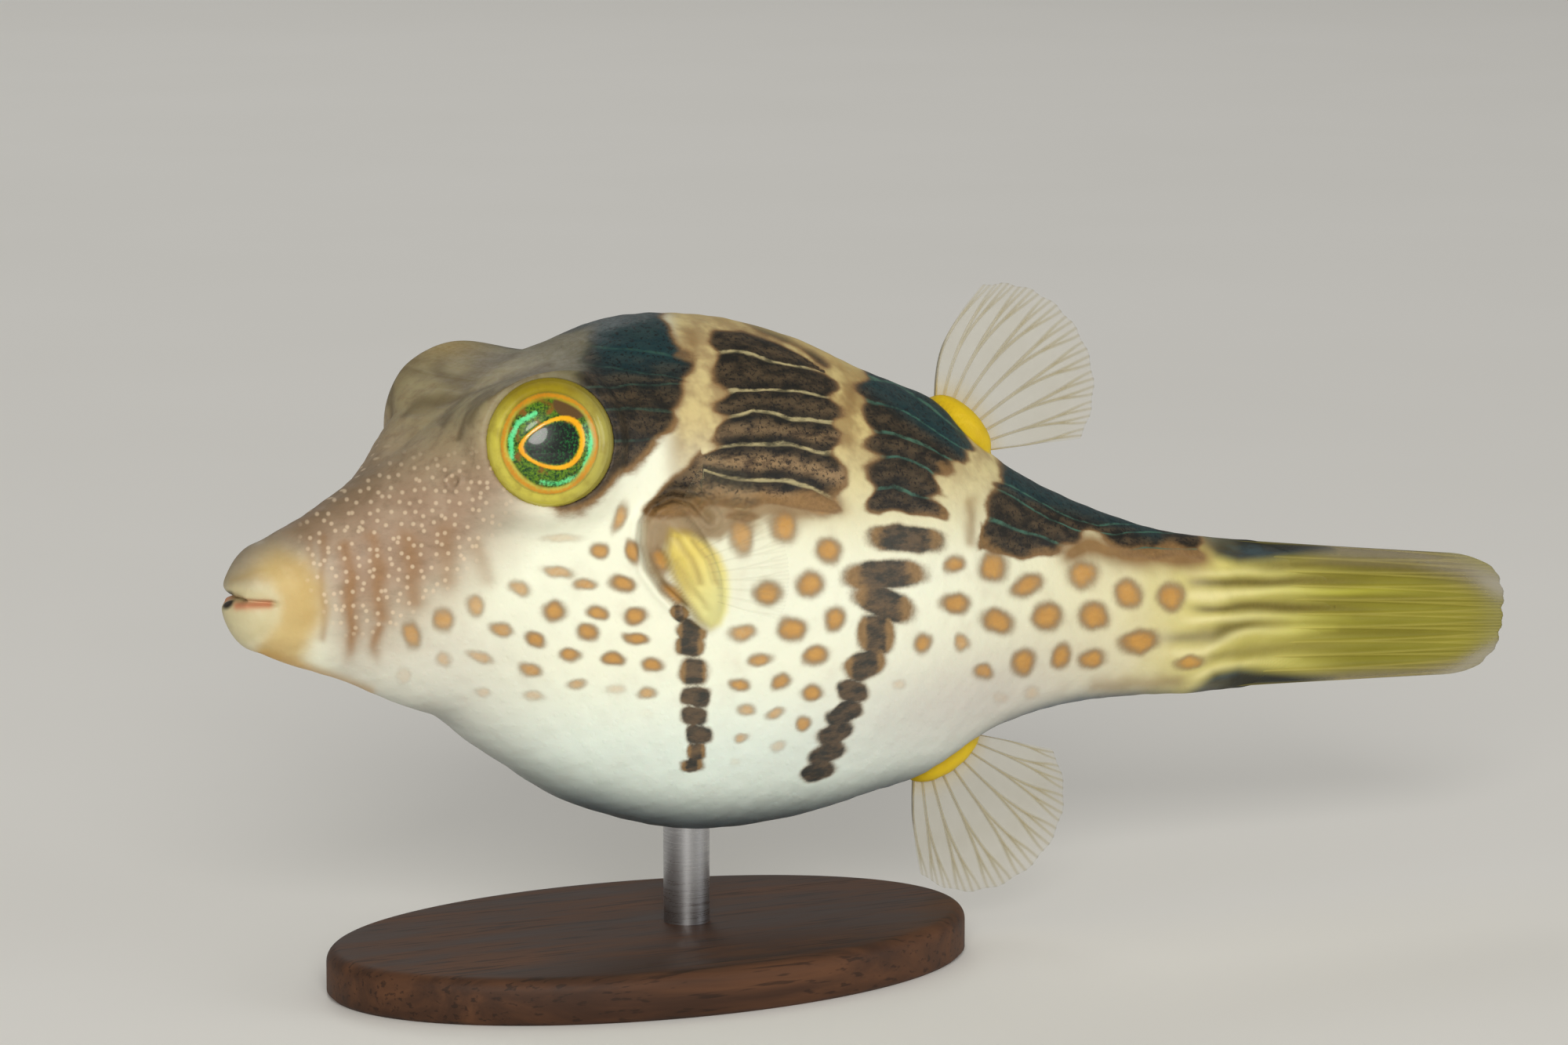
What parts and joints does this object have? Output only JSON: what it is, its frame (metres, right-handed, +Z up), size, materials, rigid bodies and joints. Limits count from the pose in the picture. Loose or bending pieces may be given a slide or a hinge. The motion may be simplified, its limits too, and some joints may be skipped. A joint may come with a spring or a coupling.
{
  "type": "black-saddled toby fish model",
  "caption": "Still, life-size model of a small spotted reef pufferfish with dark saddles, held up on a flat base by a short rod.",
  "frame": {"origin": "on the floor under the middle of the whole model's bounding box", "axes": "+X from the snout towards the tail fin, +Y towards the fish's right side, +Z up"},
  "size_m": [0.0946, 0.035, 0.0433],
  "materials": {
    "skin": "smooth moist skin, spotted, with four dark saddles",
    "tail_fin": "satin, yellow-olive membrane with fine lengthwise rays",
    "fins": "clear greyish membrane with fine rays on a yellow fleshy pad",
    "eye": "wet gloss, green and gold iris",
    "stand_base": "dark satin wood",
    "stand_rod": "brushed"
  },
  "bodies": {
    "root": {"head": "skin", "torso": "skin", "tail": "skin", "tail_fin": "tail_fin", "dorsal_fin": "fins", "anal_fin": "fins", "pectoral_fin_left": "fins", "pectoral_fin_right": "fins", "eye_left": "eye", "eye_right": "eye", "stand_base": "stand_base", "stand_rod": "stand_rod"}
  },
  "joints": []
}
